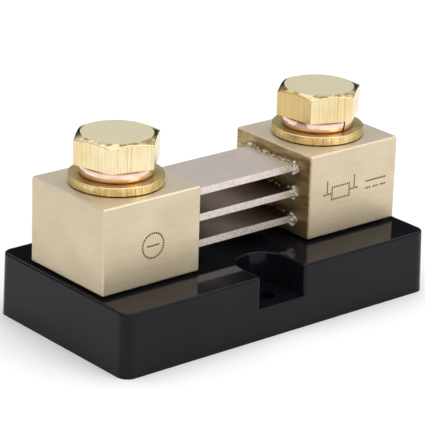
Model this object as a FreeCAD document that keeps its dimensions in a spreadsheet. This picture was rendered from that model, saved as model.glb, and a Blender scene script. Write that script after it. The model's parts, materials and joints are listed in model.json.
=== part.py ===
import FreeCAD, Part
import math
import os
import Sketcher
from FreeCAD import Placement, Rotation, Vector

# A 500 A, 75 mV current shunt for a battery monitor, in millimetres.
# Two brass terminal blocks are joined by three resistance strips brazed into slots, and stand on
# a moulded base. +X runs from the left block to the right one, -Y is the front, +Z is up, and the
# origin is the middle of the base's underside.

SIZES = [
    # moulded base
    ("base_length", 83.0), ("base_width", 44.0), ("base_height", 14.0), ("base_draft", 1.2),
    ("base_corner_radius", 2.5), ("base_edge_radius", 0.45), ("base_wall", 2.6),
    ("base_deck", 4.0), ("base_rib", 2.2), ("cavity_radius", 1.2),
    ("seat_length", 22.0), ("seat_width", 21.0), ("seat_height", 0.5),
    # mounting notches, one at the front and one at the back
    ("notch_width", 12.0), ("notch_centre", 15.8), ("notch_floor", 7.0), ("notch_mouth_radius", 0.8),
    ("mount_hole_diameter", 5.0), ("mount_ring_diameter", 8.0), ("mount_ring_depth", 0.3),
    # terminal blocks
    ("block_length", 25.0), ("block_width", 24.6), ("block_height", 18.7),
    ("block_gap", 30.0), ("block_chamfer", 0.3), ("slot_depth", 6.0),
    # resistance strips
    ("strip_width", 14.6), ("strip_thickness", 1.6), ("strip_pitch", 5.8),
    ("braze_leg", 1.4), ("braze_lip", 0.25),
    # M10 terminal bolts with their washers
    ("bolt_diameter", 10.0), ("bolt_pitch", 1.5), ("bolt_length", 20.0),
    ("bolt_flats", 16.6), ("bolt_head_height", 6.05), ("bolt_clearance", 0.05),
    ("flat_outer", 20.0), ("flat_inner", 10.5), ("flat_thickness", 2.0), ("flat_edge", 0.25),
    ("spring_outer", 15.4), ("spring_inner", 10.2), ("spring_thickness", 2.6), ("spring_gap", 0.5),
    # M4 sense screws with their washers
    ("screw_diameter", 4.0), ("screw_pitch", 0.7), ("sense_length", 8.0), ("screw_clearance", 0.03),
    ("screw_head_diameter", 8.0), ("screw_head_height", 2.6), ("screw_head_rim", 1.3),
    ("recess_length", 4.4), ("recess_width", 1.1), ("recess_depth", 1.6), ("sense_hole_depth", 6.9),
    ("small_flat_outer", 9.0), ("small_flat_inner", 4.3), ("small_flat_thickness", 0.8),
    ("small_spring_outer", 6.9), ("small_spring_inner", 4.15), ("small_spring_thickness", 1.1),
    ("small_spring_gap", 0.4), ("small_edge", 0.1),
    # M4 screws that hold the blocks to the base from beneath
    ("fixing_length", 10.0), ("fixing_spacing", 17.0), ("fixing_hole_diameter", 4.5),
    ("fixing_hole_depth", 6.5),
]

THREAD_DEPTH = 0.6134       # depth of a metric external thread, in pitches
THREAD_MOUTH = 0.875        # width of its groove at the crest, in pitches
HEAD_CHAMFER = 20.0         # degrees, on a hexagon head's corners
HEAD_TOP_RATIO = 0.91       # diameter of a hexagon head's top circle, in widths across flats
HEAD_REACH = 0.7            # a radius outside a hexagon's corners, in widths across flats
SPLIT_LEAN = 0.12           # how far a washer's split leans each way, in thicknesses
PAN_CURVE = ((0.9, 0.8), (0.7, 0.95), (0.45, 1.0))  # down a pan head, in head radii and heights
LEFT, RIGHT = -1, 1
BOLT_TURN = {LEFT: -15.5, RIGHT: -21.5}     # degrees, how the tightened heads happen to stand
SPLIT_TURN = {LEFT: 118.0, RIGHT: -84.0}    # degrees, where the spring washers' splits stand
SENSE_TURN = {LEFT: 5.0, RIGHT: 35.0}       # degrees, how the sense screws' recesses stand
CLEAR = 0.5                 # how far a cut's outline runs on beyond the material
NEAR = 0.1                  # slack for finding edges by their place
SIDE_NAME = {LEFT: "left", RIGHT: "right"}

doc = FreeCAD.newDocument("battery_shunt")
sheet = doc.addObject("Spreadsheet::Sheet", "Sizes")


class Size:
    """A length with its value and the sheet formula that gives it."""

    def __init__(self, value, formula):
        self.value = value
        self.formula = formula

    def combined(self, sign, other):
        other = other if isinstance(other, Size) else Size(float(other), repr(float(other)))
        result = {
            "+": lambda first, second: first + second,
            "-": lambda first, second: first - second,
            "*": lambda first, second: first * second,
            "/": lambda first, second: first / second,
        }[sign](self.value, other.value)
        return Size(result, f"({self.formula} {sign} {other.formula})")

    def __add__(self, other):
        return self.combined("+", other)

    def __sub__(self, other):
        return self.combined("-", other)

    def __mul__(self, other):
        return self.combined("*", other)

    def __truediv__(self, other):
        return self.combined("/", other)

    def __neg__(self):
        return self.combined("*", -1.0)


class Sizes:
    """The sheet's values by name, such as size.base_length."""


size = Sizes()
for row, (alias, number) in enumerate(SIZES, start=1):
    sheet.set(f"A{row}", alias)
    sheet.set(f"B{row}", str(number))
    sheet.setAlias(f"B{row}", alias)
    setattr(size, alias, Size(number, f"Sizes.{alias}"))
doc.recompute()
zero = Size(0.0, "0")

# levels and centres that several pieces share
block_centre = (size.block_gap + size.block_length) / 2.0
block_floor = size.base_height + size.seat_height
block_top = block_floor + size.block_height
half_block = size.block_length / 2.0
half_width = size.block_width / 2.0
strip_middle = size.block_height / 2.0
sense_level = block_floor + strip_middle


def bind(item, **sizes):
    """Drive an object's properties from the sheet."""
    for name, value in sizes.items():
        item.setExpression(name, value.formula)


def place(item, x=zero, y=zero, z=zero, rotation=Rotation()):
    """Stand a piece at a point that the sheet gives."""
    item.Placement = Placement(Vector(x.value, y.value, z.value), rotation)
    for axis, value in (("x", x), ("y", y), ("z", z)):
        item.setExpression(f"Placement.Base.{axis}", value.formula)


def new_body(label):
    body = doc.addObject("PartDesign::Body", label)
    body.Label = label
    body.AllowCompound = True
    return body


def datum(body, role):
    """One of the body's own origin planes or axes."""
    return next(item for item in body.Origin.OriginFeatures if item.Role == role)


def new_sketch(body, name, role, level=zero):
    """An empty sketch on an origin plane, moved along its normal by level."""
    sketch = body.newObject("Sketcher::SketchObject", name)
    sketch.AttachmentSupport = [(datum(body, role), "")]
    sketch.MapMode = "FlatFace"
    sketch.setExpression("AttachmentOffset.Base.z", level.formula)
    return sketch


def pin_point(sketch, item, point, x, y):
    """Hold one point of a sketch at sheet-driven coordinates."""
    for kind, value, axis in (("DistanceX", x, -2), ("DistanceY", y, -1)):
        if abs(value.value) < 1e-9:
            sketch.addConstraint(Sketcher.Constraint("PointOnObject", item, point, axis))
        else:
            index = sketch.addConstraint(Sketcher.Constraint(kind, -1, 1, item, point, value.value))
            sketch.setExpression(f"Constraints[{index}]", value.formula)


def outline(sketch, points):
    """A closed outline of straight lines through sheet-driven points."""
    places = [Vector(x.value, y.value, 0.0) for x, y in points]
    count = len(places)
    first = sketch.GeometryCount
    for index in range(count):
        sketch.addGeometry(Part.LineSegment(places[index], places[(index + 1) % count]))
    for index in range(count):
        following = first + (index + 1) % count
        sketch.addConstraint(Sketcher.Constraint("Coincident", first + index, 2, following, 1))
    for index, (x, y) in enumerate(points):
        pin_point(sketch, first + index, 1, x, y)


def rectangle(sketch, low_x, high_x, low_y, high_y):
    outline(sketch, [(low_x, low_y), (high_x, low_y), (high_x, high_y), (low_x, high_y)])


def circle(sketch, diameter, x=zero, y=zero):
    centre = Vector(x.value, y.value, 0.0)
    item = sketch.addGeometry(Part.Circle(centre, Vector(0, 0, 1), diameter.value / 2.0))
    pin_point(sketch, item, 3, x, y)
    index = sketch.addConstraint(Sketcher.Constraint("Diameter", item, diameter.value))
    sketch.setExpression(f"Constraints[{index}]", diameter.formula)


def hexagon(sketch, flats):
    corner = flats / math.sqrt(3.0)
    angles = [math.radians(60.0 * index) for index in range(6)]
    outline(sketch, [(corner * math.cos(turn), corner * math.sin(turn)) for turn in angles])


def feature(body, kind, name, profile, removes=False, **settings):
    """Add a sketch-based feature, and check that it changed the body's volume the right way."""
    doc.recompute()
    before = 0.0 if body.Shape.isNull() else body.Shape.Volume
    item = body.newObject(f"PartDesign::{kind}", name)
    item.Profile = profile
    for key, value in settings.items():
        if isinstance(value, Size):
            item.setExpression(key, value.formula)
        else:
            setattr(item, key, value)
    profile.Visibility = False
    doc.recompute()
    after = body.Shape.Volume
    if (after < before) != removes:
        raise RuntimeError(f"{body.Label}: {name} took the volume from {before} to {after}")
    return item


def extrude(body, name, profile, length, **settings):
    return feature(body, "Pad", name, profile, Length=length, **settings)


def cut(body, name, profile, length, **settings):
    return feature(body, "Pocket", name, profile, removes=True, Length=length, **settings)


def turned(body, kind, name, profile):
    """A revolution or a groove about the sketch's own upright axis."""
    return feature(body, kind, name, profile, removes=kind == "Groove",
                   ReferenceAxis=(profile, ["V_Axis"]), Angle=360.0)


def repeated(body, name, originals, direction, spacing, count):
    """Copies of features in a row, spacing apart."""
    pattern = body.newObject("PartDesign::LinearPattern", name)
    pattern.Originals = originals
    pattern.Direction = direction
    pattern.Occurrences = count
    pattern.setExpression("Length", (spacing * (count - 1)).formula)
    body.Tip = pattern
    doc.recompute()
    return pattern


def mirrored(body, name, originals, role):
    copy = body.newObject("PartDesign::Mirrored", name)
    copy.Originals = originals
    copy.MirrorPlane = (datum(body, role), [""])
    body.Tip = copy
    doc.recompute()
    return copy


def edge_names(item, wanted):
    """The names of an object's edges that pass a test."""
    edges = item.Shape.Edges
    return [f"Edge{index}" for index, edge in enumerate(edges, start=1) if wanted(edge)]


def dress(body, kind, name, amount, wanted):
    """Round or chamfer the tip's edges that pass a test."""
    doc.recompute()
    tip = body.Tip
    item = body.newObject(f"PartDesign::{kind}", name)
    item.Base = (tip, edge_names(tip, wanted))
    bind(item, **{"Radius" if kind == "Fillet" else "Size": amount})
    doc.recompute()
    return item


def is_upright(edge):
    box = edge.BoundBox
    return box.ZLength > 2.0 * max(box.XLength, box.YLength)


def lies_at(level):
    """A test for edges that lie flat at one height."""
    return lambda edge: edge.BoundBox.ZLength < 1e-4 and abs(edge.BoundBox.ZMin - level) < 1e-3


def ring(body, name, outer, inner, thickness):
    sketch = new_sketch(body, f"{name}_outline", "XY_Plane")
    circle(sketch, outer)
    circle(sketch, inner)
    return extrude(body, name, sketch, thickness)


def ring_threads(body, diameter, pitch, length, name="thread"):
    """V grooves down a shank that hangs from z = 0, one each pitch."""
    count = int(length.value / pitch.value) - 1
    crest = diameter / 2.0
    middle = -pitch
    outside = crest + CLEAR
    widening = CLEAR / THREAD_DEPTH * THREAD_MOUTH / 2.0
    half = pitch * (THREAD_MOUTH / 2.0)
    groove = new_sketch(body, f"{name}_groove", "XZ_Plane")
    outline(groove, [
        (crest - pitch * THREAD_DEPTH, middle),
        (outside, middle - half - widening),
        (outside, middle + half + widening),
    ])
    first = turned(body, "Groove", name, groove)
    down = (datum(body, "Z_Axis"), [""])
    pattern = repeated(body, f"{name}_turns", [first], down, pitch, count)
    if pattern.Shape.BoundBox.ZMax > first.Shape.BoundBox.ZMax:
        raise RuntimeError(f"{body.Label}: thread runs up instead of down")
    pattern.Reversed = True
    doc.recompute()
    return pattern


def make_base():
    body = new_body("base")
    foot = new_sketch(body, "foot", "XY_Plane")
    half_length = size.base_length / 2.0
    half_depth = size.base_width / 2.0
    rectangle(foot, -half_length, half_length, -half_depth, half_depth)
    extrude(body, "slab", foot, size.base_height, TaperAngle=-size.base_draft)
    dress(body, "Fillet", "corners", size.base_corner_radius, is_upright)

    # a round-ended notch open to the front, and the same at the back
    reach = size.notch_width / 2.0
    notch = new_sketch(body, "notch_outline", "XY_Plane", size.base_height)
    centre = Vector(0.0, -size.notch_centre.value, 0.0)
    front = -half_depth - CLEAR
    corners = [(-reach, -size.notch_centre), (-reach, front), (reach, front), (reach, -size.notch_centre)]
    places = [Vector(x.value, y.value, 0.0) for x, y in corners]
    for start, end in zip(places, places[1:]):
        notch.addGeometry(Part.LineSegment(start, end))
    arc = notch.addGeometry(Part.ArcOfCircle(
        Part.Circle(centre, Vector(0, 0, 1), reach.value), 0.0, math.pi))
    for index in range(2):
        notch.addConstraint(Sketcher.Constraint("Coincident", index, 2, index + 1, 1))
    notch.addConstraint(Sketcher.Constraint("Coincident", 2, 2, arc, 1))
    notch.addConstraint(Sketcher.Constraint("Coincident", arc, 2, 0, 1))
    for index, (x, y) in enumerate(corners[:3]):
        pin_point(notch, index, 1, x, y)
    pin_point(notch, 2, 2, *corners[3])
    level = notch.addConstraint(Sketcher.Constraint("DistanceY", -1, 1, arc, 3, centre.y))
    notch.setExpression(f"Constraints[{level}]", (-size.notch_centre).formula)
    notch_cut = cut(body, "notch", notch, size.base_height - size.notch_floor)
    hole_place = new_sketch(body, "hole_place", "XY_Plane", size.notch_floor)
    circle(hole_place, size.mount_hole_diameter, y=-size.notch_centre)
    hole = feature(body, "Hole", "mount_hole", hole_place, removes=True,
                   DepthType="ThroughAll", HoleCutType="Counterbore",
                   Diameter=size.mount_hole_diameter, HoleCutDiameter=size.mount_ring_diameter,
                   HoleCutDepth=size.mount_ring_depth)
    mirrored(body, "back_notch", [notch_cut, hole], "XZ_Plane")
    dress(body, "Fillet", "notch_mouths", size.notch_mouth_radius, lambda edge: (
        is_upright(edge) and abs(abs(edge.BoundBox.Center.x) - reach.value) < NEAR
        and abs(edge.BoundBox.Center.y) > half_depth.value - 1.0))
    dress(body, "Fillet", "top_edge", size.base_edge_radius, lies_at(size.base_height.value))

    # raised seats under the two blocks
    seats = new_sketch(body, "seat_outlines", "XY_Plane", size.base_height)
    for side in (LEFT, RIGHT):
        middle = block_centre * side
        rectangle(seats, middle - size.seat_length / 2.0, middle + size.seat_length / 2.0,
                  -(size.seat_width / 2.0), size.seat_width / 2.0)
    extrude(body, "seats", seats, size.seat_height)

    # hollows underneath, with a rib along each side and walls round the notches
    inner_x = reach + size.base_wall
    outer_x = half_length - size.base_wall
    inner_y = size.base_rib / 2.0
    outer_y = half_depth - size.base_wall
    hollows = new_sketch(body, "hollow_outlines", "XY_Plane")
    for along in (LEFT, RIGHT):
        for across in (LEFT, RIGHT):
            spans = sorted((inner_x * along, outer_x * along), key=lambda value: value.value)
            depths = sorted((inner_y * across, outer_y * across), key=lambda value: value.value)
            rectangle(hollows, spans[0], spans[1], depths[0], depths[1])
    core_y = size.notch_centre - reach - size.base_wall
    rectangle(hollows, -reach, reach, -core_y, core_y)
    depth = size.base_height - size.base_deck
    cut(body, "hollows", hollows, depth, Reversed=True)
    roof = depth.value
    dress(body, "Fillet", "hollow_corners", size.cavity_radius, lambda edge: (
        is_upright(edge) and abs(edge.BoundBox.ZMax - roof) < 1e-3 and edge.BoundBox.ZMin < 1e-3
        and abs(edge.BoundBox.Center.x) < outer_x.value + NEAR
        and abs(edge.BoundBox.Center.y) < outer_y.value + NEAR
        and edge.Curve.TypeId == "Part::GeomLine"))

    screw_holes = new_sketch(body, "screw_hole_places", "XY_Plane")
    for along in (LEFT, RIGHT):
        for across in (LEFT, RIGHT):
            circle(screw_holes, size.fixing_hole_diameter,
                   block_centre * along, size.fixing_spacing / 2.0 * across)
    cut(body, "screw_holes", screw_holes, block_top, Reversed=True)
    return body


def make_block(side):
    """A terminal block. Its slots for the strips are in the face towards the other block."""
    body = new_body(f"terminal_block_{SIDE_NAME[side]}")
    foot = new_sketch(body, "block_outline", "XY_Plane")
    rectangle(foot, -half_block, half_block, -half_width, half_width)
    extrude(body, "block", foot, size.block_height)
    dress(body, "Chamfer", "edges", size.block_chamfer, lambda edge: True)

    inner_face = half_block * -side
    slot = new_sketch(body, "slot_outline", "YZ_Plane", inner_face)
    low = strip_middle - size.strip_pitch - size.strip_thickness / 2.0
    half_strip = size.strip_width / 2.0
    rectangle(slot, -half_strip, half_strip, low, low + size.strip_thickness)
    slot_cut = cut(body, "slot", slot, size.slot_depth, Reversed=side == RIGHT)
    repeated(body, "slots", [slot_cut], (datum(body, "Z_Axis"), [""]), size.strip_pitch, 3)

    bolt_hole = new_sketch(body, "bolt_hole_outline", "XY_Plane")
    circle(bolt_hole, size.bolt_diameter + size.bolt_clearance * 2.0)
    cut(body, "bolt_hole", bolt_hole, size.block_height, Reversed=True)
    sense_hole = new_sketch(body, "sense_hole_outline", "XZ_Plane", -half_width)
    circle(sense_hole, size.screw_diameter + size.screw_clearance * 2.0, y=strip_middle)
    cut(body, "sense_hole", sense_hole, size.sense_hole_depth, Reversed=True)
    fixings = new_sketch(body, "fixing_outline", "XY_Plane")
    for across in (LEFT, RIGHT):
        circle(fixings, size.screw_diameter, y=size.fixing_spacing / 2.0 * across)
    cut(body, "fixing_holes", fixings, size.fixing_hole_depth, Reversed=True)
    place(body, block_centre * side, z=block_floor)
    return body


def make_strip(name, level):
    """A resistance strip whose ends fill the blocks' slots."""
    body = new_body(f"resistor_strip_{name}")
    sketch = new_sketch(body, "strip_outline", "XY_Plane")
    half = size.block_gap / 2.0 + size.slot_depth
    side_y = size.strip_width / 2.0
    rectangle(sketch, -half, half, -side_y, side_y)
    extrude(body, "strip", sketch, size.strip_thickness)
    place(body, z=block_floor + strip_middle + level - size.strip_thickness / 2.0)
    return body


def make_braze(side):
    """The braze fillets round the three strips where they enter one block."""
    fillets = []
    half_strip = size.strip_width / 2.0
    for index in (-1, 0, 1):
        level = block_floor + strip_middle + size.strip_pitch * index
        skirt = doc.addObject("Part::Wedge", f"braze_skirt_{SIDE_NAME[side]}_{index + 2}")
        wide = half_strip + size.braze_leg
        tall = size.strip_thickness / 2.0 + size.braze_leg
        slim = size.strip_thickness / 2.0 + size.braze_lip
        bind(skirt, Xmin=-tall, Xmax=tall, Zmin=-wide, Zmax=wide, Ymin=zero, Ymax=size.braze_leg,
             X2min=-slim, X2max=slim, Z2min=-half_strip - size.braze_lip,
             Z2max=half_strip + size.braze_lip)
        turn = Rotation(Vector(0, 0, side), Vector(-side, 0, 0), Vector(0, -1, 0), "XYZ")
        place(skirt, size.block_gap / 2.0 * side, z=level, rotation=turn)
        strip = doc.addObject("Part::Box", f"braze_core_{SIDE_NAME[side]}_{index + 2}")
        bind(strip, Length=size.block_gap, Width=size.strip_width, Height=size.strip_thickness)
        place(strip, -(size.block_gap / 2.0), -half_strip, level - size.strip_thickness / 2.0)
        fillet = doc.addObject("Part::Cut", f"braze_fillet_{SIDE_NAME[side]}_{index + 2}")
        fillet.Base = skirt
        fillet.Tool = strip
        fillets.append(fillet)
    group = doc.addObject("Part::Compound", f"braze_{SIDE_NAME[side]}")
    group.Label = f"braze_{SIDE_NAME[side]}"
    group.Links = fillets
    return group


def make_bolt(side):
    """A hexagon bolt: its head stands on z = 0 and its shank hangs below."""
    body = new_body(f"terminal_bolt_{SIDE_NAME[side]}")
    head = new_sketch(body, "head_outline", "XY_Plane")
    hexagon(head, size.bolt_flats)
    extrude(body, "head", head, size.bolt_head_height)
    rim = size.bolt_flats * (HEAD_TOP_RATIO / 2.0)
    outside = size.bolt_flats * HEAD_REACH
    fall = (outside - rim) * math.tan(math.radians(HEAD_CHAMFER))
    crown = new_sketch(body, "head_chamfer_outline", "XZ_Plane")
    outline(crown, [(rim, size.bolt_head_height), (outside, size.bolt_head_height - fall),
                    (outside, size.bolt_head_height)])
    turned(body, "Groove", "head_chamfer", crown)
    shank = new_sketch(body, "shank_outline", "XY_Plane")
    circle(shank, size.bolt_diameter)
    extrude(body, "shank", shank, size.bolt_length, Reversed=True)
    dress(body, "Chamfer", "tip", size.bolt_pitch * THREAD_DEPTH, lies_at(-size.bolt_length.value))
    ring_threads(body, size.bolt_diameter, size.bolt_pitch, size.bolt_length - size.bolt_pitch)
    rest = block_top + size.flat_thickness + size.spring_thickness
    place(body, block_centre * side, z=rest, rotation=Rotation(Vector(0, 0, 1), BOLT_TURN[side]))
    return body


def make_spring_washer(label, outer, inner, thickness, gap):
    """A split washer on z = 0, cut through at an angle on its +X side."""
    body = new_body(label)
    ring(body, "coil", outer, inner, thickness)
    split = new_sketch(body, "split_outline", "YZ_Plane")
    lean = thickness * SPLIT_LEAN
    half = gap / 2.0
    below, above = zero - CLEAR, thickness + CLEAR
    outline(split, [(-half - lean, below), (half - lean, below),
                    (half + lean, above), (-half + lean, above)])
    cut(body, "split", split, outer, Reversed=True)
    return body


def make_flat_washer(label, outer, inner, thickness, edge):
    """A flat washer on z = 0 with its upper outer edge rounded by the punch."""
    body = new_body(label)
    ring(body, "disc", outer, inner, thickness)
    top = thickness.value
    dress(body, "Fillet", "edge", edge, lambda item: (
        lies_at(top)(item) and item.BoundBox.XLength > inner.value + NEAR))
    return body


def pan_head_screw(body, length):
    """A pan-head screw with a cross recess: its head stands on z = 0, its shank hangs below."""
    radius = size.screw_diameter / 2.0
    head_radius = size.screw_head_diameter / 2.0
    profile = new_sketch(body, "screw_profile", "XZ_Plane")
    tip = size.screw_pitch * THREAD_DEPTH
    outline(profile, [
        (zero, -length), (radius - tip, -length), (radius, tip - length), (radius, zero),
        (head_radius, zero), (head_radius, size.screw_head_rim),
        *[(head_radius * wide, size.screw_head_height * high) for wide, high in PAN_CURVE],
        (zero, size.screw_head_height)])
    turned(body, "Revolution", "screw", profile)
    recess = new_sketch(body, "recess_outline", "XY_Plane", size.screw_head_height)
    long_side = size.recess_length / 2.0
    short_side = size.recess_width / 2.0
    outline(recess, [
        (long_side, -short_side), (long_side, short_side), (short_side, short_side),
        (short_side, long_side), (-short_side, long_side), (-short_side, short_side),
        (-long_side, short_side), (-long_side, -short_side), (-short_side, -short_side),
        (-short_side, -long_side), (short_side, -long_side), (short_side, -short_side)])
    cut(body, "recess", recess, size.recess_depth)


def make_terminal(side):
    """The M10 bolt of one block with its flat and spring washers."""
    name = SIDE_NAME[side]
    flat = make_flat_washer(f"flat_washer_{name}", size.flat_outer, size.flat_inner,
                            size.flat_thickness, size.flat_edge)
    place(flat, block_centre * side, z=block_top)
    spring = make_spring_washer(f"spring_washer_{name}", size.spring_outer, size.spring_inner,
                                size.spring_thickness, size.spring_gap)
    place(spring, block_centre * side, z=block_top + size.flat_thickness,
          rotation=Rotation(Vector(0, 0, 1), SPLIT_TURN[side]))
    return [flat, spring, make_bolt(side)]


def make_sense_terminal(side):
    """The M4 screw on the back of one block with its flat and spring washers."""
    name = SIDE_NAME[side]
    backwards = Rotation(Vector(1, 0, 0), -90.0)
    x = block_centre * side
    flat = make_flat_washer(f"sense_flat_washer_{name}", size.small_flat_outer,
                            size.small_flat_inner, size.small_flat_thickness, size.small_edge)
    place(flat, x, half_width, sense_level, backwards)
    spring = make_spring_washer(f"sense_spring_washer_{name}", size.small_spring_outer,
                                size.small_spring_inner, size.small_spring_thickness,
                                size.small_spring_gap)
    place(spring, x, half_width + size.small_flat_thickness, sense_level, backwards)
    body = new_body(f"sense_screw_{name}")
    pan_head_screw(body, size.sense_length)
    ring_threads(body, size.screw_diameter, size.screw_pitch, size.sense_length - size.screw_pitch)
    head_level = half_width + size.small_flat_thickness + size.small_spring_thickness
    place(body, x, head_level, sense_level, backwards * Rotation(Vector(0, 0, 1), SENSE_TURN[side]))
    return [flat, spring, body]


def make_base_fixings(side):
    """The two screws of one block with their spring washers, heads down in the base's hollows."""
    name = SIDE_NAME[side]
    upside_down = Rotation(Vector(1, 0, 0), 180.0)
    x = block_centre * side
    y = size.fixing_spacing / 2.0
    deck = size.base_height - size.base_deck
    washers = make_spring_washer(f"base_spring_washers_{name}", size.small_spring_outer,
                                 size.small_spring_inner, size.small_spring_thickness,
                                 size.small_spring_gap)
    screws = new_body(f"base_screws_{name}")
    pan_head_screw(screws, size.fixing_length)
    for body in (washers, screws):
        originals = [item for item in body.Group if item.TypeId in (
            "PartDesign::Pad", "PartDesign::Pocket", "PartDesign::Revolution")]
        repeated(body, "pair", originals, (datum(body, "Y_Axis"), [""]), size.fixing_spacing, 2)
    place(washers, x, y, deck, upside_down)
    place(screws, x, y, deck - size.small_spring_thickness, upside_down)
    return [washers, screws]


pieces = [make_base()]
for step, level_name in enumerate(("lower", "middle", "upper"), start=-1):
    pieces.append(make_strip(level_name, size.strip_pitch * step))
for block_side in (LEFT, RIGHT):
    pieces += [make_block(block_side), make_braze(block_side)]
    pieces += make_terminal(block_side)
    pieces += make_sense_terminal(block_side)
    pieces += make_base_fixings(block_side)
doc.recompute()

for item in doc.Objects:
    if {"Invalid", "Error"} & set(item.State):
        raise RuntimeError(f"{item.Label} failed: {item.State}")
for piece in pieces:
    if piece.Shape.isNull() or not piece.Shape.isValid() or not piece.Shape.Solids:
        raise RuntimeError(f"{piece.Label} has no valid solid")

os.makedirs("parts", exist_ok=True)
for piece in pieces:
    piece.Shape.exportStep(f"parts/{piece.Label}.step")
    box = piece.Shape.optimalBoundingBox()
    print(f"{piece.Label:28s} solids {len(piece.Shape.Solids)}  volume {piece.Shape.Volume:9.2f}"
          f"  x {box.XMin:7.2f} {box.XMax:7.2f}  y {box.YMin:7.2f} {box.YMax:7.2f}"
          f"  z {box.ZMin:6.2f} {box.ZMax:6.2f}")
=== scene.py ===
import json
import math
import random

import bpy
from mathutils import Matrix, Vector, noise


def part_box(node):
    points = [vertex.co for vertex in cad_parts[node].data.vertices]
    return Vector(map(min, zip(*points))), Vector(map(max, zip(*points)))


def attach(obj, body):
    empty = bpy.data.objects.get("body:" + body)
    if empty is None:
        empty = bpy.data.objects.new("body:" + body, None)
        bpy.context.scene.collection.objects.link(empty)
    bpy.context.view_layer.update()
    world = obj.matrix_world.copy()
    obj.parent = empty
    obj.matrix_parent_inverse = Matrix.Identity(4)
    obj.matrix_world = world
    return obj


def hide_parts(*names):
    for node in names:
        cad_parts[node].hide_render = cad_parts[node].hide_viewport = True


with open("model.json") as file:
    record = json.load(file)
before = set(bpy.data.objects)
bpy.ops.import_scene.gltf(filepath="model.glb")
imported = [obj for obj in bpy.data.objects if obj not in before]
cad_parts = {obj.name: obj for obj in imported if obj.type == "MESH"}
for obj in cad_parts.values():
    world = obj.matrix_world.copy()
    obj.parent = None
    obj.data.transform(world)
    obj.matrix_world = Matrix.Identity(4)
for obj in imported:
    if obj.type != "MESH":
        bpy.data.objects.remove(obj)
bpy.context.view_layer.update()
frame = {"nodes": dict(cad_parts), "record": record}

MM = 0.001
SIDES = {"left": -1, "right": 1}

# Camera, fitted to the object's straight edges: degrees, and millimetres from the row's origin.
VIEW_AZIMUTH, VIEW_ELEVATION, VIEW_ROLL = -40.09, 20.71, 1.81
VIEW_DISTANCE, VIEW_RIGHT, VIEW_UP = 546.1, -0.55, 18.98
VIEW_LENS = 214.3

# Sizes in millimetres that the frame's boxes don't give.
BOLT_FLATS, BOLT_SHANK, BOLT_PITCH = 16.6, 10.0, 1.5
BOLT_TURN = {"left": -15.5, "right": -21.5}
SPLIT_TURN = {"left": 118.0, "right": -84.0}
SPRING_OUTER, SPRING_INNER, SPRING_GAP, SPRING_LEAN = 15.4, 10.2, 0.5, 0.12


def middle(node_name):
    low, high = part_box(node_name)
    return (low + high) / 2.0


# ---------------------------------------------------------------- materials

def new_material(name):
    """A material with a Principled shader, and the node tree to work in."""
    material = bpy.data.materials.new(name)
    material.use_nodes = True
    tree = material.node_tree
    shader = next(node for node in tree.nodes if node.type == "BSDF_PRINCIPLED")
    return material, tree, shader


def node(tree, kind, settings=(), **inputs):
    """A node of that kind, with its settings and its inputs given as values or as sockets."""
    made = tree.nodes.new(f"ShaderNode{kind}")
    for key, value in dict(settings).items():
        setattr(made, key, value)
    for key, value in inputs.items():
        socket = made.inputs[key.replace("_", " ")]
        if isinstance(value, bpy.types.NodeSocket):
            tree.links.new(value, socket)
        else:
            socket.default_value = value
    return made


def surface_place(tree):
    """The surface point's X, Y and Z in metres of the piece's own space."""
    return node(tree, "SeparateXYZ", Vector=node(tree, "TexCoord").outputs["Object"]).outputs


def object_point(tree, stretch=(1.0, 1.0, 1.0), offset=(0.0, 0.0, 0.0)):
    """The surface point in millimetres of the piece's own space, scaled along each axis."""
    place = node(tree, "TexCoord").outputs["Object"]
    scale = tuple(value / MM for value in stretch)
    return node(tree, "Mapping", Vector=place, Scale=scale, Location=offset).outputs["Vector"]


def grain(tree, vector, scale=1.0, detail=4.0, roughness=0.55, distortion=0.0):
    made = node(tree, "TexNoise", Vector=vector, Scale=scale, Detail=detail,
                Roughness=roughness, Distortion=distortion)
    return made.outputs["Fac"]


def remap(tree, value, low, high, to_low=0.0, to_high=1.0):
    made = node(tree, "MapRange", Value=value)
    for socket, number in zip(("From Min", "From Max", "To Min", "To Max"),
                              (low, high, to_low, to_high)):
        made.inputs[socket].default_value = number
    return made.outputs["Result"]


def maths(tree, operation, first, second=0.0):
    made = tree.nodes.new("ShaderNodeMath")
    made.operation = operation
    for socket, value in zip(made.inputs, (first, second)):
        if isinstance(value, bpy.types.NodeSocket):
            tree.links.new(value, socket)
        else:
            socket.default_value = value
    return made.outputs["Value"]


def ramp(tree, value, *stops):
    """Colours along a value: each stop is (place, (red, green, blue))."""
    made = node(tree, "ValToRGB", Fac=value)
    points = made.color_ramp.elements
    while len(points) < len(stops):
        points.new(0.5)
    for point, (place, colour) in zip(points, stops):
        point.position = place
        point.color = (*colour, 1.0)
    return made.outputs["Color"]


def blend_colour(tree, factor, first, second, mode="MIX"):
    made = tree.nodes.new("ShaderNodeMix")
    made.data_type = "RGBA"
    made.blend_type = mode
    for name, value in (("Factor_Float", factor), ("A_Color", first), ("B_Color", second)):
        socket = next(item for item in made.inputs if item.identifier == name)
        if isinstance(value, bpy.types.NodeSocket):
            tree.links.new(value, socket)
        elif name == "Factor_Float":
            socket.default_value = value
        else:
            socket.default_value = (*value, 1.0)
    return next(item for item in made.outputs if item.identifier == "Result_Color")


def bump(tree, shader, height, strength, distance):
    """Add a height to the shader's normal, over any bump that it has already."""
    made = node(tree, "Bump", Height=height, Strength=strength, Distance=distance * MM)
    links = shader.inputs["Normal"].links
    if links:
        tree.links.new(links[0].from_socket, made.inputs["Normal"])
    tree.links.new(made.outputs["Normal"], shader.inputs["Normal"])


def facing(tree, axis):
    """How far the surface faces along one of the piece's own axes, 0 to 1."""
    normal = node(tree, "TexCoord").outputs["Normal"]
    parts = node(tree, "SeparateXYZ", Vector=normal)
    return maths(tree, "ABSOLUTE", parts.outputs[axis])


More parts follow.
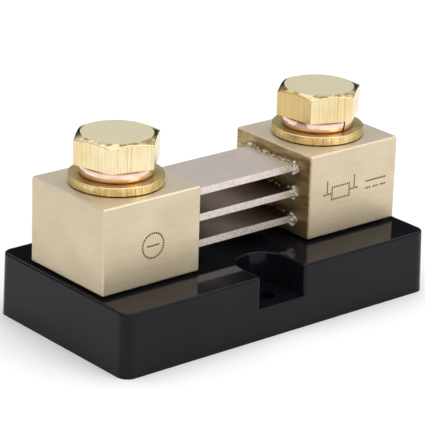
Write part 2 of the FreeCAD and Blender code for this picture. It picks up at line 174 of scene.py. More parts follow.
def connect(tree, shader, **sockets):
    for key, value in sockets.items():
        tree.links.new(value, shader.inputs[key.replace("_", " ")])


def block_brass():
    """Pale brass, ground flat: long fine level lines, and stained brown where it was brazed."""
    material, tree, shader = new_material("block_brass")
    shader.inputs["Metallic"].default_value = 1.0
    upright = grain(tree, object_point(tree, (0.10, 0.10, 9.0)), detail=5.0, roughness=0.7)
    level = grain(tree, object_point(tree, (0.12, 7.0, 0.4)), detail=5.0, roughness=0.7)
    top = facing(tree, "Z")
    lines = node(tree, "Mix", Factor=top, A=upright, B=level).outputs[0]
    cloud = grain(tree, object_point(tree, (0.10, 0.10, 0.16)), detail=3.0)
    speck = grain(tree, object_point(tree, (1.6, 1.6, 3.2)), detail=3.0)
    tone = ramp(tree, cloud, (0.30, (0.69, 0.58, 0.415)), (0.72, (0.775, 0.675, 0.505)))
    streaked = blend_colour(tree, remap(tree, lines, 0.38, 0.70, 0.0, 0.5), tone,
                            (0.60, 0.49, 0.33))
    coarse = grain(tree, object_point(tree, (1.2, 1.2, 4.2)), detail=4.0, roughness=0.75)
    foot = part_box("terminal_block_left")[0].z
    place = surface_place(tree)
    low_down = remap(tree, place["Z"], foot + 9.0 * MM, foot + 1.0 * MM)
    gouged = maths(tree, "MULTIPLY", low_down, remap(tree, coarse, 0.50, 0.66, 0.0, 0.6))
    streaked = blend_colour(tree, gouged, streaked, (0.62, 0.51, 0.33))
    # Painted light: top faces are painted halfway towards a pale cream.
    streaked = blend_colour(tree, maths(tree, "MULTIPLY", top, 0.5), streaked, (0.92, 0.84, 0.70))
    brazed = inner_face(tree)
    scorch = grain(tree, object_point(tree, (0.5, 0.16, 0.9)), detail=5.0, roughness=0.7)
    scored = grain(tree, object_point(tree, (1.2, 0.25, 4.0)), detail=5.0, roughness=0.8)
    stain = ramp(tree, scorch, (0.36, (0.27, 0.18, 0.075)), (0.52, (0.43, 0.32, 0.16)),
                 (0.68, (0.64, 0.52, 0.31)))
    tone = blend_colour(tree, brazed, streaked, stain)
    ground = maths(tree, "ADD", remap(tree, lines, 0.3, 0.7, 0.40, 0.56),
                   maths(tree, "MULTIPLY", low_down, 0.12))
    connect(tree, shader, Base_Color=tone,
            Roughness=node(tree, "Mix", Factor=brazed, A=ground, B=0.44).outputs[0])
    round_about = node(tree, "Tangent", {"direction_type": "RADIAL", "axis": "Z"})
    shader.inputs["Anisotropic Rotation"].default_value = 0.25
    shader.inputs["Anisotropic"].default_value = 0.2
    connect(tree, shader, Tangent=round_about.outputs["Tangent"])
    bump(tree, shader, lines, 0.38, 0.035)
    bump(tree, shader, speck, 0.14, 0.02)
    bump(tree, shader, maths(tree, "MULTIPLY", coarse, low_down), 0.9, 0.09)
    bump(tree, shader, maths(tree, "MULTIPLY", scored, brazed), 0.5, 0.12)
    return material


def inner_face(tree):
    """1 on the face of a block that the strips enter, 0 elsewhere."""
    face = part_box("terminal_block_right")[0].x
    across = maths(tree, "ABSOLUTE", surface_place(tree)["X"])
    return maths(tree, "MULTIPLY", remap(tree, across, face + 0.4 * MM, face + 0.1 * MM),
                 remap(tree, facing(tree, "X"), 0.5, 0.8))


def turned_brass():
    """Bright yellow brass of the bolts: drawn lines up the flats, a satin top painted paler as
    painted light, darkly mottled chamfers, and painted shade on the right bolt's left side.
    """
    material, tree, shader = new_material("bolt_brass")
    shader.inputs["Metallic"].default_value = 1.0
    drawn = grain(tree, object_point(tree, (3.2, 3.2, 0.06)), detail=4.0, roughness=0.65)
    fine = grain(tree, object_point(tree, (2.5, 2.5, 2.5)), detail=3.0)
    top = facing(tree, "Z")
    lines = node(tree, "Mix", Factor=top, A=drawn, B=fine).outputs[0]
    cloud = grain(tree, object_point(tree, (0.16, 0.16, 0.16)), detail=2.0)
    flat_top = remap(tree, top, 0.95, 0.99)
    mottle = grain(tree, object_point(tree, (0.45, 0.45, 0.45)), detail=4.0, roughness=0.6)
    chamfer = maths(tree, "MULTIPLY", remap(tree, top, 0.80, 0.90),
                    maths(tree, "SUBTRACT", 1.0, flat_top))
    tone = ramp(tree, cloud, (0.3, (0.80, 0.63, 0.33)), (0.7, (0.91, 0.81, 0.55)))
    streaked = blend_colour(tree, remap(tree, lines, 0.44, 0.68, 0.0, 0.75), tone,
                            (0.64, 0.45, 0.18))
    place = surface_place(tree)
    axis_x = middle("terminal_bolt_right").x
    # Painted shade: the leftmost sliver of the right bolt's head is darkened towards a dark gold.
    painted_side_shade = maths(tree, "MULTIPLY",
                      remap(tree, place["X"], axis_x - 7.4 * MM, axis_x - 7.6 * MM,
                            0.0, 0.75),
                      remap(tree, place["X"], 0.0, axis_x / 2.0))
    streaked = blend_colour(tree, painted_side_shade, streaked, (0.60, 0.42, 0.15))
    # The chamfers are darkened in a noisy mottle towards a dark olive.
    dark_chamfer_mottle = maths(tree, "MULTIPLY", chamfer, remap(tree, mottle, 0.46, 0.58, 0.0, 0.85))
    streaked = blend_colour(tree, dark_chamfer_mottle, streaked, (0.24, 0.175, 0.05))
    # Painted light: the flat head tops are painted a pale cream; their satin roughness is the
    # tops' own finish.
    pale = blend_colour(tree, flat_top, streaked, (0.95, 0.86, 0.62))
    satin = node(tree, "Mix", Factor=flat_top,
                 A=remap(tree, lines, 0.3, 0.7, 0.13, 0.27), B=0.47).outputs[0]
    connect(tree, shader, Base_Color=pale, Roughness=satin)
    sides = maths(tree, "SUBTRACT", 1.0, maths(tree, "MULTIPLY", flat_top, 0.85))
    bump(tree, shader, maths(tree, "MULTIPLY", lines, sides), 0.22, 0.03)
    return material


def punched_brass():
    """Golden brass of the flat washers: the punch's streaks on the rim, and a painted contact
    shadow at its foot.
    """
    material, tree, shader = new_material("washer_brass")
    shader.inputs["Metallic"].default_value = 1.0
    sheared = grain(tree, object_point(tree, (2.4, 2.4, 0.25)), detail=4.0, roughness=0.7)
    cloud = grain(tree, object_point(tree, (0.2, 0.2, 0.2)), detail=3.0)
    tone = ramp(tree, cloud, (0.3, (0.84, 0.64, 0.28)), (0.75, (0.90, 0.75, 0.42)))
    rim = maths(tree, "SUBTRACT", 1.0, facing(tree, "Z"))
    dark = maths(tree, "MULTIPLY", rim, remap(tree, sheared, 0.40, 0.65, 0.0, 0.75))
    streaked = blend_colour(tree, dark, tone, (0.42, 0.25, 0.07))
    place = surface_place(tree)
    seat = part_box("flat_washer_left")[0].z
    # Painted contact shadow: a near-black band just above the washer's bottom edge.
    painted_contact_shadow = maths(tree, "MULTIPLY",
                   remap(tree, place["Z"], seat + 0.32 * MM, seat + 0.19 * MM),
                   remap(tree, place["Z"], seat - 0.2 * MM, seat - 0.1 * MM))
    streaked = blend_colour(tree, painted_contact_shadow, streaked, (0.012, 0.007, 0.002))
    shine = maths(tree, "ADD", remap(tree, sheared, 0.3, 0.7, 0.18, 0.34),
                  maths(tree, "MULTIPLY", facing(tree, "Z"), 0.08))
    connect(tree, shader, Base_Color=streaked, Roughness=shine)
    bump(tree, shader, maths(tree, "MULTIPLY", sheared, rim), 0.30, 0.04)
    return material


def spring_bronze():
    """Copper-coloured bronze of the spring washers, with painted shade in brown at the rounded top
    and bottom edges.
    """
    material, tree, shader = new_material("spring_bronze")
    shader.inputs["Metallic"].default_value = 1.0
    cloud = grain(tree, object_point(tree, (0.5, 0.5, 0.5)), detail=4.0)
    fine = grain(tree, object_point(tree, (2.2, 2.2, 5.0)), detail=3.0)
    tone = ramp(tree, cloud, (0.3, (0.86, 0.60, 0.47)), (0.7, (0.95, 0.76, 0.66)))
    low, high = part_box("spring_washer_left")
    place = surface_place(tree)
    level = place["Z"]
    # Painted shade: the rounded top and bottom edges of the ring's sides are darkened towards
    # brown.
    off_middle = maths(tree, "ABSOLUTE", maths(tree, "SUBTRACT", level, (low.z + high.z) / 2.0))
    edges = maths(tree, "MULTIPLY", remap(tree, off_middle, 0.45 * MM, 1.0 * MM, 0.0, 0.9),
                  remap(tree, level, low.z - 0.2 * MM, low.z - 0.1 * MM))
    edges = maths(tree, "MULTIPLY", edges, remap(tree, facing(tree, "Z"), 0.98, 0.80))
    tone = blend_colour(tree, edges, tone, (0.36, 0.15, 0.06))
    connect(tree, shader, Base_Color=tone, Roughness=remap(tree, fine, 0.3, 0.7, 0.11, 0.20))
    bump(tree, shader, fine, 0.15, 0.02)
    return material


def manganin():
    """Matt grey-pink rolled strip, with painted shade in dark brown between the strips towards
    their brazed ends; paler sawn edges.
    """
    material, tree, shader = new_material("strip_manganin")
    shader.inputs["Metallic"].default_value = 1.0
    rolled = grain(tree, object_point(tree, (0.25, 2.6, 0.25)), detail=4.0)
    sawn = grain(tree, object_point(tree, (2.4, 1.0, 3.0)), detail=5.0, roughness=0.75)
    cloud = grain(tree, object_point(tree, (0.35, 0.35, 0.35)), detail=4.0)
    edge = remap(tree, facing(tree, "Y"), 0.3, 0.7)
    place = surface_place(tree)
    along = maths(tree, "ABSOLUTE", place["X"])
    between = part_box("resistor_strip_upper")[0].z
    # Painted shade: faces below the upper strip's underside are darkened to brown towards the
    # strips' ends.
    painted_gap_shade = maths(tree, "MULTIPLY", remap(tree, along, 1.0 * MM, 12.0 * MM),
                remap(tree, place["Z"], between + 0.5 * MM, between))
    flat_tone = ramp(tree, rolled, (0.3, (0.70, 0.62, 0.585)), (0.7, (0.77, 0.69, 0.655)))
    brown = ramp(tree, cloud, (0.35, (0.10, 0.06, 0.04)), (0.65, (0.21, 0.14, 0.10)))
    edge_tone = ramp(tree, sawn, (0.32, (0.66, 0.54, 0.47)), (0.60, (0.96, 0.89, 0.84)))
    tone = blend_colour(tree, edge, blend_colour(tree, painted_gap_shade, flat_tone, brown), edge_tone)
    connect(tree, shader, Base_Color=tone,
            Roughness=node(tree, "Mix", Factor=edge, A=0.46, B=0.50).outputs[0])
    bump(tree, shader, maths(tree, "MULTIPLY", sawn, edge), 0.5, 0.08)
    bump(tree, shader, rolled, 0.10, 0.02)
    return material


def silver_braze():
    """Dull silver lumps at the strips' edges, with olive crumbs along the flats."""
    material, tree, shader = new_material("braze_silver")
    shader.inputs["Metallic"].default_value = 1.0
    lumps = grain(tree, object_point(tree, (1.8, 1.8, 1.8)), detail=5.0, roughness=0.7)
    silver = ramp(tree, lumps, (0.38, (0.24, 0.19, 0.11)), (0.47, (0.56, 0.51, 0.42)),
                  (0.58, (0.84, 0.81, 0.75)))
    olive = ramp(tree, lumps, (0.38, (0.12, 0.085, 0.03)), (0.48, (0.38, 0.31, 0.17)),
                 (0.60, (0.66, 0.58, 0.38)))
    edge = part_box("resistor_strip_upper")[1].y
    place = surface_place(tree)
    across = maths(tree, "ABSOLUTE", place["Y"])
    tone = blend_colour(tree, remap(tree, across, edge - 1.2 * MM, edge - 0.4 * MM), olive, silver)
    connect(tree, shader, Base_Color=tone, Roughness=remap(tree, lumps, 0.3, 0.7, 0.60, 0.38))
    bump(tree, shader, lumps, 0.7, 0.2)
    return material


def zinc_steel():
    """Zinc-plated steel of the hidden screws."""
    material, tree, shader = new_material("screw_zinc")
    shader.inputs["Metallic"].default_value = 1.0
    cloud = grain(tree, object_point(tree, (0.6, 0.6, 0.6)), detail=4.0)
    tone = ramp(tree, cloud, (0.3, (0.50, 0.52, 0.55)), (0.7, (0.66, 0.66, 0.64)))
    connect(tree, shader, Base_Color=tone, Roughness=remap(tree, cloud, 0.3, 0.7, 0.26, 0.42))
    bump(tree, shader, cloud, 0.1, 0.03)
    return material


def black_moulding():
    """Glossy black moulding: faintly wavy, and a little rougher on its upright faces."""
    material, tree, shader = new_material("base_moulding")
    wave = grain(tree, object_point(tree, (0.05, 0.05, 0.05)), detail=2.0)
    fine = grain(tree, object_point(tree, (3.0, 3.0, 3.0)), detail=2.0)
    tone = ramp(tree, wave, (0.3, (0.0044, 0.0043, 0.0066)), (0.7, (0.0068, 0.0067, 0.0096)))
    upright = maths(tree, "SUBTRACT", 1.0, facing(tree, "Z"))
    shine = maths(tree, "ADD", remap(tree, fine, 0.3, 0.7, 0.045, 0.085),
                  maths(tree, "MULTIPLY", upright, 0.06))
    shader.inputs["Specular IOR Level"].default_value = 0.17
    connect(tree, shader, Base_Color=tone, Roughness=shine)
    bump(tree, shader, wave, 0.06, 0.5)
    return material


def pit_shadow():
    """Dark brown painted shade inside the peened marks' pits."""
    material, tree, shader = new_material("mark_pits")
    shader.inputs["Metallic"].default_value = 0.6
    cloud = grain(tree, object_point(tree, (2.0, 2.0, 2.0)), detail=2.0)
    tone = ramp(tree, cloud, (0.3, (0.11, 0.07, 0.03)), (0.7, (0.25, 0.17, 0.085)))
    connect(tree, shader, Base_Color=tone, Roughness=remap(tree, cloud, 0.3, 0.7, 0.5, 0.7))
    return material


def pale_floor():
    material, tree, shader = new_material("pale_floor")
    cloud = grain(tree, object_point(tree, (0.01, 0.01, 0.01)), detail=2.0)
    tone = ramp(tree, cloud, (0.3, (0.95, 0.95, 0.95)), (0.7, (0.97, 0.97, 0.97)))
    connect(tree, shader, Base_Color=tone, Roughness=remap(tree, cloud, 0.3, 0.7, 0.85, 0.95))
    return material


MATERIALS = {
    "base_moulding": black_moulding(),
    "block_brass": block_brass(),
    "bolt_brass": turned_brass(),
    "washer_brass": punched_brass(),
    "spring_bronze": spring_bronze(),
    "strip_manganin": manganin(),
    "braze_silver": silver_braze(),
    "screw_zinc": zinc_steel(),
    "mark_pits": pit_shadow(),
}


# ---------------------------------------------------------------- mesh helpers

def mesh_piece(name, points, faces, material, smooth=True):
    """A mesh object from points in metres."""
    mesh = bpy.data.meshes.new(name)
    mesh.from_pydata([tuple(point) for point in points], [], faces)
    mesh.validate()
    mesh.update()
    mesh.materials.append(material)
    for polygon in mesh.polygons:
        polygon.use_smooth = smooth
    piece = bpy.data.objects.new(name, mesh)
    bpy.context.scene.collection.objects.link(piece)
    return piece


def tube_faces(rows, columns, first=0):
    """Quads between rings of points that close on themselves."""
    faces = []
    for row in range(rows - 1):
        for column in range(columns):
            following = (column + 1) % columns
            lower, upper = first + row * columns, first + (row + 1) * columns
            faces.append((lower + column, lower + following, upper + following, upper + column))
    return faces


def cap(row, columns, turned=False):
    ring = [row * columns + column for column in range(columns)]
    return tuple(reversed(ring)) if turned else tuple(ring)


def soften(piece, width, segments=2, angle=25.0):
    """Round a piece's sharp edges a little."""
    bevel = piece.modifiers.new("soft_edges", "BEVEL")
    bevel.width = width * MM
    bevel.segments = segments
    bevel.limit_method = "ANGLE"
    bevel.angle_limit = math.radians(angle)
    bevel.harden_normals = True


def smooth_by_angle(piece, degrees):
    """Shade smooth but for edges sharper than an angle."""
    mesh = piece.data
    limit = math.radians(degrees)
    corners = {}
    for polygon in mesh.polygons:
        polygon.use_smooth = True
        for key in polygon.edge_keys:
            corners.setdefault(key, []).append(polygon.normal)
    for edge in mesh.edges:
        normals = corners.get(edge.key, [])
        edge.use_edge_sharp = len(normals) == 2 and normals[0].angle(normals[1], 0.0) > limit


def carry(piece, body, slot, *nodes):
    """Make a piece ride on a body and stand for its CAD nodes."""
    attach(piece, body)
    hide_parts(*nodes)


# ---------------------------------------------------------------- pieces

HEAD_CHAMFER_SLOPE = math.tan(math.radians(20.0))
HEAD_TOP_RATIO = 0.91
COLUMNS_PER_FLAT = 14
THREAD_COLUMNS, THREAD_ROWS = 72, 8
THREAD_DEPTH = 0.6134  # of the pitch
SPRING_STEPS, SPRING_CORNER = 140, 0.42
CRUMBS, CRUMB_REACH = 44, 1.15
BLOB_RINGS, BLOB_COLUMNS, BLOB_GRAIN, BLOB_ROUGHNESS = 8, 12, 0.8, 0.22
LUMP_RADII, TAIL_RADII = (1.15, 1.0, 1.35), (0.42, 0.75, 1.05)
SEED_SPREAD = 9.0
FUSE_SIZE = 0.14


def hexagon_radius(angle, flats):
    """Distance from a hexagon's middle to its side; a corner lies at angle 0."""
    sector = math.radians(60.0)
    return flats / 2.0 / math.cos((angle % sector) - sector / 2.0)


def hexagon_bolt(name, centre, seat, top, tip, turn):
    """A hexagon head with its chamfer, over a shank with a true helical thread, in metres."""
    columns = 6 * COLUMNS_PER_FLAT
    height = (top - seat) / MM
    rim = BOLT_FLATS * HEAD_TOP_RATIO / 2.0
    rings = []

    def add_ring(radius_at, level_at):
        ring = []
        for column in range(columns):
            angle = math.tau * column / columns
            radius, level = radius_at(angle), level_at(angle)
            spin = angle + math.radians(turn)
            ring.append((centre.x + radius * math.cos(spin) * MM,
                         centre.y + radius * math.sin(spin) * MM, seat + level * MM))
        rings.append(ring)

    def side(angle):
        return hexagon_radius(angle, BOLT_FLATS)

    shank = BOLT_SHANK / 2.0
    add_ring(lambda angle: shank * 0.8, lambda angle: 0.0)
    add_ring(side, lambda angle: 0.0)
    add_ring(side, lambda angle: height * 0.45)
    add_ring(side, lambda angle: height - (side(angle) - rim) * HEAD_CHAMFER_SLOPE)
    add_ring(lambda angle: rim, lambda angle: height)
    for share in (0.7, 0.35, 0.1):
        add_ring(lambda angle: rim * share, lambda angle: height)
    points = [point for ring in rings for point in ring]
    faces = tube_faces(len(rings), columns)
    faces.append(cap(len(rings) - 1, columns))
    faces.append(cap(0, columns, turned=True))
    piece = mesh_piece(name, points, faces, MATERIALS["bolt_brass"])
    smooth_by_angle(piece, 20.0)
    soften(piece, 0.16, 3)
    thread = threaded_shank(f"{name}_thread", centre, seat, tip, shank, BOLT_PITCH)
    return piece, thread


def threaded_shank(name, centre, seat, tip, crest, pitch):
    """A shank with a helical thread, sheared along its own helix so that crests stay crisp."""
    depth = pitch * THREAD_DEPTH
    length = (seat - tip) / MM
    rows = int((length / pitch + 2) * THREAD_ROWS)
    points = []
    for row in range(rows):
        phase = row / THREAD_ROWS
        wave = abs((phase % 1.0) * 2.0 - 1.0)
        shape = min(1.0, max(0.0, (wave - 0.06) / 0.78))
        for column in range(THREAD_COLUMNS):
            angle = math.tau * column / THREAD_COLUMNS
            level = -length + (phase - 1.0 + column / THREAD_COLUMNS) * pitch
            level = min(0.05, max(-length, level))
            radius = crest - depth * (1.0 - shape)
            radius = min(radius, crest - depth + (level + length))
            if level > -pitch * 0.8:
                radius = crest - depth * 0.5
            points.append((centre.x + radius * math.cos(angle) * MM,
                           centre.y + radius * math.sin(angle) * MM, seat + level * MM))
    faces = []
    for row in range(rows - 1):
        for column in range(THREAD_COLUMNS):
            following = (column + 1) % THREAD_COLUMNS
            step = THREAD_ROWS if following == 0 else 0
            upper, lower = row + 1 + step, row + step
            if upper >= rows:
                continue
            faces.append((row * THREAD_COLUMNS + column, lower * THREAD_COLUMNS + following,
                          upper * THREAD_COLUMNS + following, (row + 1) * THREAD_COLUMNS + column))
    faces.append(cap(0, THREAD_COLUMNS, turned=True))
    piece = mesh_piece(name, points, faces, MATERIALS["bolt_brass"])
    smooth_by_angle(piece, 35.0)
    return piece


def spring_washer(name, centre, low, high, turn):
    """A split ring of square bronze wire with rounded corners and slanted ends."""
    steps = SPRING_STEPS
    thickness = (high - low) / MM
    inner, outer = SPRING_INNER / 2.0, SPRING_OUTER / 2.0
    corner = SPRING_CORNER
    section = []
    places = ((outer, thickness), (inner, thickness), (inner, 0.0), (outer, 0.0))
    for quarter, (x, z) in enumerate(places):
        middle_x = x - corner if x == outer else x + corner
        middle_z = z - corner if z > 0.0 else z + corner
        for step in range(4):
            angle = math.radians(90.0 * quarter + 30.0 * step)
            section.append((middle_x + corner * math.cos(angle),
                            middle_z + corner * math.sin(angle)))
    columns = len(section)
    half_gap = SPRING_GAP / 2.0 / outer
    points = []
    for step in range(steps + 1):
        share = step / steps
        for radius, level in section:
            lean = SPRING_LEAN * (2.0 * level - thickness) / outer
            start, end = half_gap + lean, math.tau - half_gap + lean
            angle = math.radians(turn) + start + (end - start) * share
            points.append((centre.x + radius * math.cos(angle) * MM,
                           centre.y + radius * math.sin(angle) * MM, low + level * MM))
    faces = tube_faces(steps + 1, columns)
    faces += [cap(0, columns, turned=True), cap(steps, columns)]
    piece = mesh_piece(name, points, faces, MATERIALS["spring_bronze"])
    smooth_by_angle(piece, 40.0)
    return piece


noise.seed_set(5)


def lumpy(point, size, seed, amount):
    """Push a point about by a smooth noise."""
    place = Vector(point) / (size * MM) + Vector((seed * 7.3, seed * 3.1, seed * 5.7))
    return Vector(point) + noise.noise_vector(place) * amount * MM


def blob(points, faces, centre, radii, seed):
    """Add a lumpy ball to a mesh in the making."""
    first = len(points)
    rings, columns = BLOB_RINGS, BLOB_COLUMNS
    for ring in range(rings + 1):
        tilt = math.pi * ring / rings
        for column in range(columns):
            angle = math.tau * column / columns
            spot = Vector((radii[0] * math.cos(tilt), radii[1] * math.sin(tilt) * math.cos(angle),
                           radii[2] * math.sin(tilt) * math.sin(angle))) * MM
            points.append(lumpy(centre + spot, BLOB_GRAIN, seed, BLOB_ROUGHNESS))
    faces.extend(tube_faces(rings + 1, columns, first))
    faces.append(tuple(first + column for column in reversed(range(columns))))
    faces.append(tuple(first + rings * columns + column for column in range(columns)))


def braze(name, side, sign):
    """Braze at the strips' ends: crumbs along the flats, a large lump at each edge."""
    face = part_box(f"braze_{side}")[0 if sign < 0 else 1].x
    dice = random.Random(11 + sign)
    points, faces = [], []
    for level in ("lower", "middle", "upper"):
        low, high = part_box(f"resistor_strip_{level}")
        for surface, outward in ((low.z, -1), (high.z, 1)):
            outermost = (level, outward) in (("lower", -1), ("upper", 1))
            for _ in range(CRUMBS if outermost else CRUMBS // 3):
                away = CRUMB_REACH * dice.random() ** 1.5
                bulk = (0.24 + 0.30 * dice.random()) * (1.25 - 0.5 * away)
                centre = Vector((face - sign * away * MM,
                                 low.y + (high.y - low.y) * dice.random(),
                                 surface + outward * 0.10 * (1.2 - away) * MM))
                blob(points, faces, centre, (bulk, bulk * 1.3, bulk * 0.8),
                     dice.random() * SEED_SPREAD)
        for edge, outward in ((low.y, -1), (high.y, 1)):
            middle_z = (low.z + high.z) / 2.0
            lump = Vector((face - sign * 0.12 * MM, edge - outward * 0.25 * MM, middle_z))
            blob(points, faces, lump, LUMP_RADII, dice.random() * SEED_SPREAD)
            tail = Vector((face - sign * 0.08 * MM, edge + outward * 0.72 * MM,
                           middle_z - 0.30 * MM))
            blob(points, faces, tail, TAIL_RADII, dice.random() * SEED_SPREAD)
            for height in (-1.1, -0.4, 0.4, 1.1):
                bulk = 0.50 + 0.25 * dice.random()
                centre = Vector((face - sign * (0.1 + 0.6 * dice.random()) * MM,
                                 edge + outward * 0.20 * MM, middle_z + height * MM))
                blob(points, faces, centre, (bulk, bulk * 0.9, bulk), dice.random() * SEED_SPREAD)
    piece = mesh_piece(name, points, faces, MATERIALS["braze_silver"])
    fuse = piece.modifiers.new("fuse", "REMESH")
    fuse.mode = "VOXEL"
    fuse.voxel_size = FUSE_SIZE * MM
    fuse.use_smooth_shade = True
    ease = piece.modifiers.new("ease", "SMOOTH")
    ease.factor, ease.iterations = 0.5, 2
    return piece


def dress_frame():
    """Give every CAD node that still shows its material."""
    slots = {entry["node"]: entry["material_slot"] for entry in frame["record"]["subparts"]}
    for name, part in frame["nodes"].items():
        part.data.materials.clear()
        part.data.materials.append(MATERIALS[slots[name]])
        if "flat_washer" in name:
            soften(part, 0.28, 3)


def make_hardware():
    for side, sign in SIDES.items():
        bolt = f"terminal_bolt_{side}"
        low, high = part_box(bolt)
        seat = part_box(f"spring_washer_{side}")[1].z
        head, thread = hexagon_bolt(f"bolt_{side}_head", middle(bolt), seat, high.z, low.z,
                                    BOLT_TURN[side])
        carry(head, f"bolt_{side}_screw", "bolt_brass", bolt)
        carry(thread, f"bolt_{side}_screw", "bolt_brass", bolt)
        washer = f"spring_washer_{side}"
        low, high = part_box(washer)
        centre = middle(f"flat_washer_{side}")
        ring = spring_washer(f"spring_ring_{side}", centre, low.z, high.z, SPLIT_TURN[side])
        carry(ring, f"bolt_{side}_spring_washer", "spring_bronze", washer)
        lumps = braze(f"braze_beads_{side}", side, sign)
        carry(lumps, "shunt", "braze_silver", f"braze_{side}")


# ---------------------------------------------------------------- marks

# Dots of the marks, and where each mark stands: along from its block's middle, and height.
DOT_RADIUS, DOT_PITCH, DOT_DEPTH = 0.24, 0.55, 0.16
DOT_APART, DOT_CORNERS = DOT_PITCH * 0.96, 8
MARK_ALONG, MARK_LEVEL = {"left": 0.2, "right": 0.5}, {"left": 22.9, "right": 23.8}


def along(start, end):
    """Dots from one point to another, evenly spaced."""
    start, end = Vector(start), Vector(end)
    count = max(1, int((end - start).length / DOT_PITCH))
    return [start.lerp(end, step / count) for step in range(count + 1)]


def around(centre, radius):
    count = int(math.tau * radius / DOT_PITCH)
    turns = [math.tau * step / count for step in range(count)]
    return [Vector((centre[0] + radius * math.cos(turn), centre[1] + radius * math.sin(turn)))
            for turn in turns]


def negative_sign():
    """A minus in a ring."""
    return around((0.0, 0.0), 2.7) + along((-1.38, 0.0), (1.38, 0.0))


def shunt_symbol():
    """A resistor drawn as a box, with its leads and two taps, beside a direct-current sign."""
    dots = []
    corners = [(-6.6, -1.38), (-1.65, -1.38), (-1.65, 1.38), (-6.6, 1.38)]
    for start, end in zip(corners, corners[1:] + corners[:1]):
        dots += along(start, end)[:-1]
    dots += along((-8.85, 0.0), (-7.15, 0.0)) + along((-1.1, 0.0), (0.6, 0.0))
    dots += along((-8.0, 0.56), (-8.0, 2.8)) + along((-0.25, 0.56), (-0.25, 2.8))
    dots += along((3.3, 0.8), (8.8, 0.8))
    for start in (3.3, 5.5, 7.7):
        dots += along((start, -0.8), (start + 1.12, -0.8))
    return dots


def engrave(side, dots):
    """Peen small cone-shaped pits into a block's front face."""
    centre_x = middle(f"terminal_block_{side}").x + MARK_ALONG[side] * MM
    level = MARK_LEVEL[side] * MM
    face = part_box(f"terminal_block_{side}")[0].y
    points, faces = [], []
    corners = DOT_CORNERS
    apart = []
    for dot in dots:
        if all((dot - other).length > DOT_APART for other in apart):
            apart.append(dot)
    for dot in apart:
        first = len(points)
        x = centre_x + dot.x * MM
        z = level + dot.y * MM
        for radius, depth in ((DOT_RADIUS * 1.1, -0.02), (DOT_RADIUS * 0.45, DOT_DEPTH)):
            for corner in range(corners):
                angle = math.tau * corner / corners
                points.append((x + radius * math.cos(angle) * MM, face + depth * MM,
                               z + radius * math.sin(angle) * MM))
        faces += [tuple(first + corner for corner in range(corners)),
                  tuple(first + corners + corner for corner in reversed(range(corners)))]
        for corner in range(corners):
            following = (corner + 1) % corners
            faces.append((first + corner, first + corners + corner,
                          first + corners + following, first + following))
    cutter = mesh_piece(f"peen_{side}", points, faces, MATERIALS["mark_pits"], smooth=False)
    cutter.hide_render = True
    block = frame["nodes"][f"terminal_block_{side}"]
    # The cut pits' walls take the mark_pits material: painted shade in the pits.
    block.data.materials.append(MATERIALS["mark_pits"])
    cut = block.modifiers.new("peened_marks", "BOOLEAN")
    cut.operation = "DIFFERENCE"
    cut.object = cutter
    cut.solver = "EXACT"
    cut.material_mode = "TRANSFER"


# ---------------------------------------------------------------- studio

def aim(thing, place, target):
    thing.location = place
    thing.rotation_mode = "QUATERNION"
    thing.rotation_quaternion = (Vector(target) - Vector(place)).to_track_quat("-Z", "Y")


def softbox(name, place, target, width, height, power):
    lamp = bpy.data.lights.new(name, "AREA")
    lamp.shape = "RECTANGLE"
    lamp.size, lamp.size_y = width, height
    lamp.energy = power
    holder = bpy.data.objects.new(name, lamp)
    bpy.context.scene.collection.objects.link(holder)
    aim(holder, place, target)


def make_world():
    """A soft tent: bright overhead, dim low down, and darkest low at the back."""
    world = bpy.data.worlds.new("studio")
    bpy.context.scene.world = world
    world.use_nodes = True
    tree = world.node_tree
    background = next(item for item in tree.nodes if item.type == "BACKGROUND")
    direction = node(tree, "TexCoord").outputs["Generated"]
    parts = node(tree, "SeparateXYZ", Vector=direction)
    low = ramp(tree, remap(tree, parts.outputs["Y"], -0.5, 0.5),
               (0.0, (0.62, 0.62, 0.62)), (1.0, (0.02, 0.02, 0.025)))
    rise = remap(tree, parts.outputs["Z"], 0.40, 0.56)
    shade = blend_colour(tree, rise, low, (1.15, 1.15, 1.15))
    tree.links.new(shade, background.inputs["Color"])
    background.inputs["Strength"].default_value = 1.0


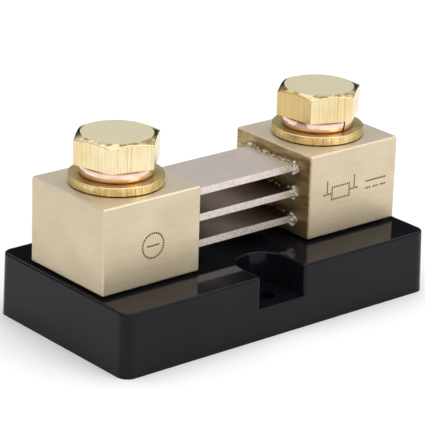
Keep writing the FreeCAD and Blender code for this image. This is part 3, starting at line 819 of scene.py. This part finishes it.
def make_camera():
    """The photo's camera."""
    azimuth, elevation, roll = map(math.radians, (VIEW_AZIMUTH, VIEW_ELEVATION, VIEW_ROLL))
    back = Vector((math.sin(azimuth) * math.cos(elevation),
                   -math.cos(azimuth) * math.cos(elevation), math.sin(elevation)))
    right = Vector((math.cos(azimuth), math.sin(azimuth), 0.0))
    up = back.cross(right)
    level_right = right * math.cos(roll) + up * math.sin(roll)
    level_up = up * math.cos(roll) - right * math.sin(roll)
    place = (back * VIEW_DISTANCE + level_right * VIEW_RIGHT + level_up * VIEW_UP) * MM
    data = bpy.data.cameras.new("camera")
    data.lens = VIEW_LENS
    data.sensor_width = 36.0
    data.clip_start, data.clip_end = 0.01, 20.0
    camera = bpy.data.objects.new("camera", data)
    bpy.context.scene.collection.objects.link(camera)
    turn = Matrix((level_right, level_up, back)).transposed()
    camera.matrix_world = Matrix.Translation(place) @ turn.to_4x4()
    bpy.context.scene.camera = camera


def make_floor():
    """A wide floor, open under the base so that its ribbed underside can be seen from below."""
    reach, inset = 3.0, 2.0 * MM
    low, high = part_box("base")
    points = [(side_x * reach, side_y * reach, 0.0)
              for side_x, side_y in ((-1, -1), (1, -1), (1, 1), (-1, 1))]
    points += [(low.x + inset, low.y + inset, 0.0), (high.x - inset, low.y + inset, 0.0),
               (high.x - inset, high.y - inset, 0.0), (low.x + inset, high.y - inset, 0.0)]
    faces = [(corner, (corner + 1) % 4, 4 + (corner + 1) % 4, 4 + corner) for corner in range(4)]
    floor = mesh_piece("floor", points, faces, pale_floor(), smooth=False)


def make_lights():
    softbox("overhead", (0.05, -0.05, 1.0), (0.0, 0.0, 0.0), 0.9, 0.9, 2.0)
    softbox("front", (0.35, -0.9, 0.6), (0.0, 0.0, 0.02), 0.6, 0.4, 1.5)
    softbox("below", (0.40, -0.55, -0.30), (0.0, 0.0, 0.0), 0.4, 0.4, 3.0)


make_camera()
dress_frame()
make_hardware()
engrave("left", negative_sign())
engrave("right", shunt_symbol())
make_world()
make_lights()
make_floor()
bpy.context.scene.view_settings.view_transform = "Standard"
